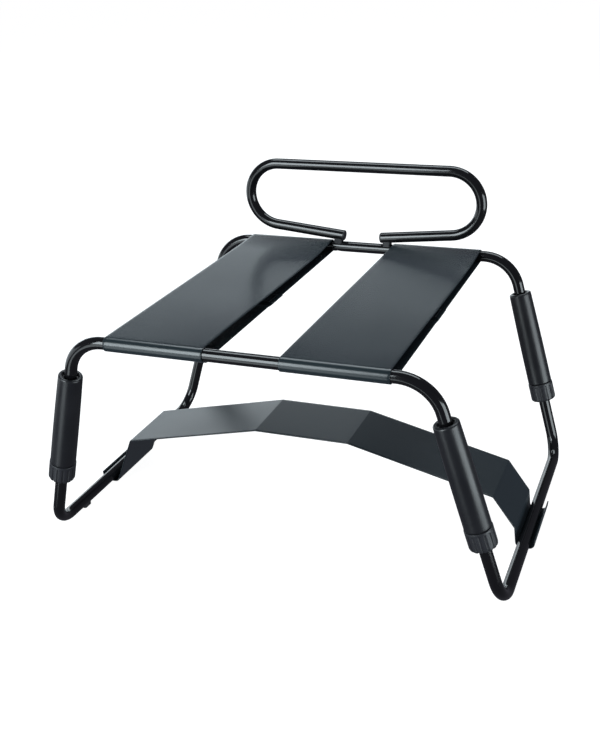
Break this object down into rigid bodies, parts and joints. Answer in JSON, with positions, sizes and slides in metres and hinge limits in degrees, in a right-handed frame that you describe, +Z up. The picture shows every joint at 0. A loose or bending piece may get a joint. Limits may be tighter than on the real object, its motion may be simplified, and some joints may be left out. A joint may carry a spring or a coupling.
{
  "type": "strap seat stool",
  "caption": "Low tubular stool with stretched seat straps, a hand rail over the rear bar, foam grips with twist collars on the legs and a tie strap near the floor.",
  "frame": {"origin": "on the floor under the middle of the stool", "axes": "+X across the stool, +Y to the rear where the hand rail stands, +Z up"},
  "size_m": [0.6526, 0.4842, 0.438],
  "materials": {
    "gloss_black_tube": "gloss black powder coat",
    "black_plastic": "moulded",
    "bolt_steel": "black oxide",
    "foam": "smooth closed-cell foam",
    "foot_rubber": "moulded rubber",
    "collet_plastic": "moulded",
    "collar_plastic": "satin moulded",
    "seat_webbing": "woven elastic",
    "tie_webbing": "flat woven nylon"
  },
  "bodies": {
    "frame": {"front_top_tube": "gloss_black_tube", "rear_top_tube": "gloss_black_tube", "left_side_tube": "gloss_black_tube", "right_side_tube": "gloss_black_tube", "handle_tube": "gloss_black_tube", "handle_plug_left": "black_plastic", "handle_saddle_left": "black_plastic", "handle_plug_right": "black_plastic", "handle_saddle_right": "black_plastic", "handle_bolts": "bolt_steel", "handle_rivet_nuts": "bolt_steel", "coupler_front_left": "black_plastic", "foam_grip_front_left": "foam", "foot_pad_front_left": "foot_rubber", "coupler_front_right": "black_plastic", "foam_grip_front_right": "foam", "foot_pad_front_right": "foot_rubber", "coupler_rear_left": "black_plastic", "foam_grip_rear_left": "foam", "foot_pad_rear_left": "foot_rubber", "coupler_rear_right": "black_plastic", "foam_grip_rear_right": "foam", "foot_pad_rear_right": "foot_rubber"},
    "collet_front_left": {"collet_front_left": "collet_plastic"},
    "twist_collar_front_left": {"twist_collar_front_left": "collar_plastic"},
    "collet_front_right": {"collet_front_right": "collet_plastic"},
    "twist_collar_front_right": {"twist_collar_front_right": "collar_plastic"},
    "collet_rear_left": {"collet_rear_left": "collet_plastic"},
    "twist_collar_rear_left": {"twist_collar_rear_left": "collar_plastic"},
    "collet_rear_right": {"collet_rear_right": "collet_plastic"},
    "twist_collar_rear_right": {"twist_collar_rear_right": "collar_plastic"},
    "seat_strap_left": {"seat_strap_left": "seat_webbing"},
    "seat_strap_right": {"seat_strap_right": "seat_webbing"},
    "tie_strap": {"tie_strap": "tie_webbing"}
  },
  "joints": [
    {"name": "collet_slide_front_left", "type": "slide", "parent": "frame", "child": "collet_front_left", "axis": [-0.269, 0.0766, -0.9601], "range_m": [0, 0.006]},
    {"name": "collar_turn_front_left", "type": "hinge", "parent": "collet_front_left", "child": "twist_collar_front_left", "pos_m": [-0.28516, -0.21464, 0.10677], "axis": [-0.269, 0.0766, -0.9601], "range_deg": [0, 720]},
    {"name": "collet_slide_front_right", "type": "slide", "parent": "frame", "child": "collet_front_right", "axis": [0.269, 0.0766, -0.9601], "range_m": [0, 0.006]},
    {"name": "collar_turn_front_right", "type": "hinge", "parent": "collet_front_right", "child": "twist_collar_front_right", "pos_m": [0.28516, -0.21464, 0.10677], "axis": [0.269, 0.0766, -0.9601], "range_deg": [0, 720]},
    {"name": "collet_slide_rear_left", "type": "slide", "parent": "frame", "child": "collet_rear_left", "axis": [-0.269, -0.0766, -0.9601], "range_m": [0, 0.006]},
    {"name": "collar_turn_rear_left", "type": "hinge", "parent": "collet_rear_left", "child": "twist_collar_rear_left", "pos_m": [-0.28516, 0.21464, 0.10677], "axis": [-0.269, -0.0766, -0.9601], "range_deg": [0, 720]},
    {"name": "collet_slide_rear_right", "type": "slide", "parent": "frame", "child": "collet_rear_right", "axis": [0.269, -0.0766, -0.9601], "range_m": [0, 0.006]},
    {"name": "collar_turn_rear_right", "type": "hinge", "parent": "collet_rear_right", "child": "twist_collar_rear_right", "pos_m": [0.28516, 0.21464, 0.10677], "axis": [0.269, -0.0766, -0.9601], "range_deg": [0, 720]},
    {"name": "seat_strap_left_slide", "type": "slide", "parent": "frame", "child": "seat_strap_left", "axis": [-1, 0, 0], "range_m": [-0.0035, 0.0045]},
    {"name": "seat_strap_right_slide", "type": "slide", "parent": "frame", "child": "seat_strap_right", "axis": [1, 0, 0], "range_m": [-0.0035, 0.0045]},
    {"name": "tie_strap_slide", "type": "slide", "parent": "frame", "child": "tie_strap", "axis": [0, 1, 0], "range_m": [-0.066, 0.078]}
  ],
  "couplings": [
    {"joint": "collar_turn_front_left", "follows": "collet_slide_front_left", "rad_per_m": 2094.4},
    {"joint": "collar_turn_front_right", "follows": "collet_slide_front_right", "rad_per_m": 2094.4},
    {"joint": "collar_turn_rear_left", "follows": "collet_slide_rear_left", "rad_per_m": 2094.4},
    {"joint": "collar_turn_rear_right", "follows": "collet_slide_rear_right", "rad_per_m": 2094.4}
  ]
}
